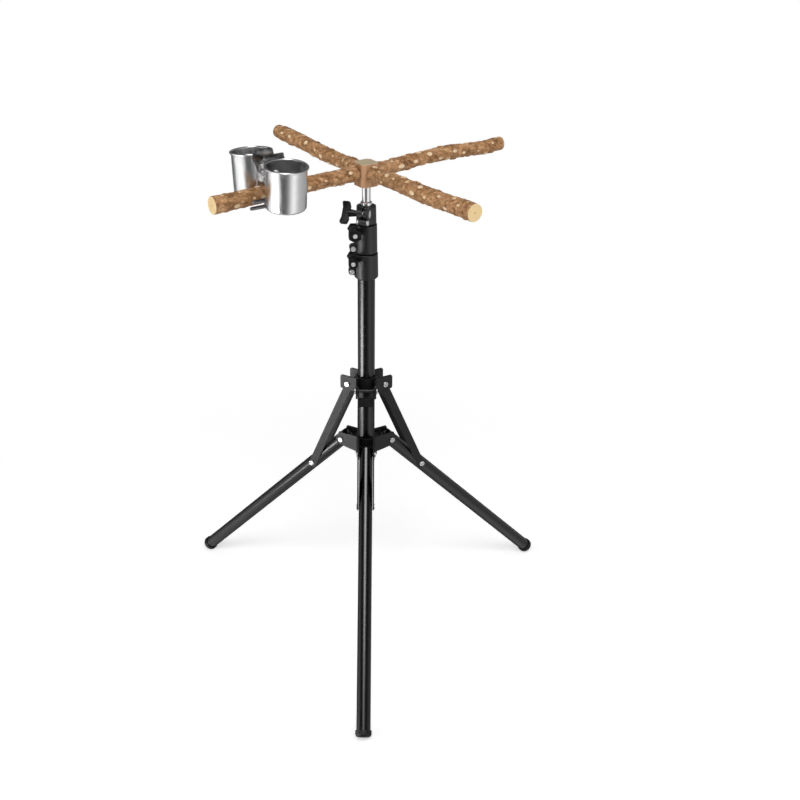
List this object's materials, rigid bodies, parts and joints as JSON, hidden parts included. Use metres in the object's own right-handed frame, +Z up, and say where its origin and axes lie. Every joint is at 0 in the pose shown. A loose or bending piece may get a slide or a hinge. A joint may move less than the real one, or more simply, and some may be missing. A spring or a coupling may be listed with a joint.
{
  "type": "tabletop bird perch stand",
  "caption": "Wooden branch perch for small birds on a telescoping folding tripod, with steel food cups clipped to a branch.",
  "frame": {"origin": "on the floor below the middle of the stand's bounding box", "axes": "+Z up along the column; -Y towards the front leg; +X to the viewer's right"},
  "size_m": [0.5694, 0.526, 0.7692],
  "materials": {
    "black_tube": "satin black powder coat",
    "black_steel": "satin black paint on pressed steel",
    "black_plastic": "moulded black, low sheen",
    "foot_rubber": "dull black",
    "pin_steel": "zinc plated",
    "chrome": "polished",
    "block_wood": "planed and sanded, unvarnished",
    "branch_wood": "natural bark with pale knots, sawn ends",
    "cup_steel": "bright drawn stainless steel",
    "spring_steel": "bare wire"
  },
  "bodies": {
    "mast": {"mast_tube": "black_tube", "mast_plug": "black_plastic", "leg_bracket": "black_plastic", "leg_pins": "pin_steel", "collar_lower": "black_plastic", "collar_lower_fasteners": "pin_steel"},
    "slider": {"stay_bracket": "black_plastic", "stay_bracket_pins": "pin_steel"},
    "leg_1": {"leg_1": "black_tube", "foot_1": "foot_rubber"},
    "leg_2": {"leg_2": "black_tube", "foot_2": "foot_rubber"},
    "leg_3": {"leg_3": "black_tube", "foot_3": "foot_rubber"},
    "stay_1": {"stay_1": "black_steel", "stay_rivets_1": "pin_steel"},
    "stay_2": {"stay_2": "black_steel", "stay_rivets_2": "pin_steel"},
    "stay_3": {"stay_3": "black_steel", "stay_rivets_3": "pin_steel"},
    "lower_section": {"lower_tube": "black_tube", "lower_tube_bush": "black_plastic", "collar_middle": "black_plastic", "collar_middle_fasteners": "pin_steel"},
    "middle_section": {"middle_tube": "black_tube", "middle_tube_bush": "black_plastic", "collar_upper": "black_plastic", "collar_upper_fasteners": "pin_steel"},
    "top_section": {"top_tube": "black_tube", "top_tube_bush": "black_plastic", "post": "chrome", "post_washer": "chrome"},
    "knob_lower": {"knob_lower": "black_plastic", "knob_lower_screw": "pin_steel"},
    "knob_middle": {"knob_middle": "black_plastic", "knob_middle_screw": "pin_steel"},
    "knob_upper": {"knob_upper": "black_plastic", "knob_upper_screw": "pin_steel"},
    "perch": {"perch_block": "block_wood", "branch_screws": "pin_steel", "branch_1": "branch_wood", "branch_2": "branch_wood", "branch_3": "branch_wood", "branch_4": "branch_wood", "clip_pin": "pin_steel", "clip_spring": "spring_steel"},
    "clip_front": {"clip_plate_front": "cup_steel", "cup_front": "cup_steel", "cup_rivets_front": "pin_steel"},
    "clip_rear": {"clip_plate_rear": "cup_steel", "cup_rear": "cup_steel", "cup_rivets_rear": "pin_steel"}
  },
  "joints": [
    {"name": "tripod_fold", "type": "hinge", "parent": "mast", "child": "leg_1", "pos_m": [0, 0.02567, 0.298], "axis": [-1, 0, 0], "range_deg": [0, 136]},
    {"name": "leg_2_fold", "type": "hinge", "parent": "mast", "child": "leg_2", "pos_m": [0.03291, 0.08267, 0.298], "axis": [0.5, -0.866, 0], "range_deg": [0, 136]},
    {"name": "leg_3_fold", "type": "hinge", "parent": "mast", "child": "leg_3", "pos_m": [-0.03291, 0.08267, 0.298], "axis": [0.5, 0.866, 0], "range_deg": [0, 136]},
    {"name": "stay_bracket_slide", "type": "slide", "parent": "mast", "child": "slider", "axis": [0, 0, 1], "range_m": [0, 0.15]},
    {"name": "stay_1_swing", "type": "hinge", "parent": "slider", "child": "stay_1", "pos_m": [0, 0.03967, 0.39659], "axis": [-1, 0, 0], "range_deg": [-19.2, 0]},
    {"name": "stay_2_swing", "type": "hinge", "parent": "slider", "child": "stay_2", "pos_m": [0.02079, 0.07567, 0.39659], "axis": [0.5, -0.866, 0], "range_deg": [-19.2, 0]},
    {"name": "stay_3_swing", "type": "hinge", "parent": "slider", "child": "stay_3", "pos_m": [-0.02079, 0.07567, 0.39659], "axis": [0.5, 0.866, 0], "range_deg": [-19.2, 0]},
    {"name": "lower_extension", "type": "slide", "parent": "mast", "child": "lower_section", "axis": [0, 0, 1], "range_m": [0, 0.22]},
    {"name": "middle_extension", "type": "slide", "parent": "lower_section", "child": "middle_section", "axis": [0, 0, 1], "range_m": [0, 0.24]},
    {"name": "top_extension", "type": "slide", "parent": "middle_section", "child": "top_section", "axis": [0, 0, 1], "range_m": [0, 0.25]},
    {"name": "perch_swivel", "type": "hinge", "parent": "top_section", "child": "perch", "pos_m": [0, 0.06367, 0.716], "axis": [0, 0, 1], "continuous": true},
    {"name": "knob_lower_turn", "type": "hinge", "parent": "mast", "child": "knob_lower", "pos_m": [-0.01917, 0.06266, 0.5942], "axis": [0.0523, -0.9986, 0], "range_deg": [-180, 180]},
    {"name": "knob_middle_turn", "type": "hinge", "parent": "lower_section", "child": "knob_middle", "pos_m": [-0.0177, 0.06181, 0.6353], "axis": [0.1045, -0.9945, 0], "range_deg": [-180, 180]},
    {"name": "knob_upper_turn", "type": "hinge", "parent": "middle_section", "child": "knob_upper", "pos_m": [-0.00424, 0.04783, 0.6634], "axis": [-0.9659, 0.2588, 0], "range_deg": [-180, 180]},
    {"name": "clip_squeeze", "type": "hinge", "parent": "perch", "child": "clip_front", "pos_m": [-0.12481, -0.02308, 0.73526], "axis": [-0.8211, -0.5707, 0], "range_deg": [0, 15], "stiffness_Nm_per_rad": 0.6, "springref_deg": -28.65, "deforming": ["clip_spring"]},
    {"name": "clip_rear_squeeze", "type": "hinge", "parent": "perch", "child": "clip_rear", "pos_m": [-0.12481, -0.02308, 0.73526], "axis": [0.8211, 0.5707, 0], "range_deg": [0, 15], "stiffness_Nm_per_rad": 0.6, "springref_deg": -28.65}
  ],
  "couplings": [
    {"joint": "leg_2_fold", "follows": "tripod_fold", "ratio": 1},
    {"joint": "leg_3_fold", "follows": "tripod_fold", "ratio": 1},
    {"joint": "stay_bracket_slide", "follows": "tripod_fold", "m_per_rad": 0.063121},
    {"joint": "stay_1_swing", "follows": "tripod_fold", "ratio": -0.141},
    {"joint": "stay_2_swing", "follows": "tripod_fold", "ratio": -0.141},
    {"joint": "stay_3_swing", "follows": "tripod_fold", "ratio": -0.141},
    {"joint": "clip_rear_squeeze", "follows": "clip_squeeze", "ratio": 1}
  ]
}
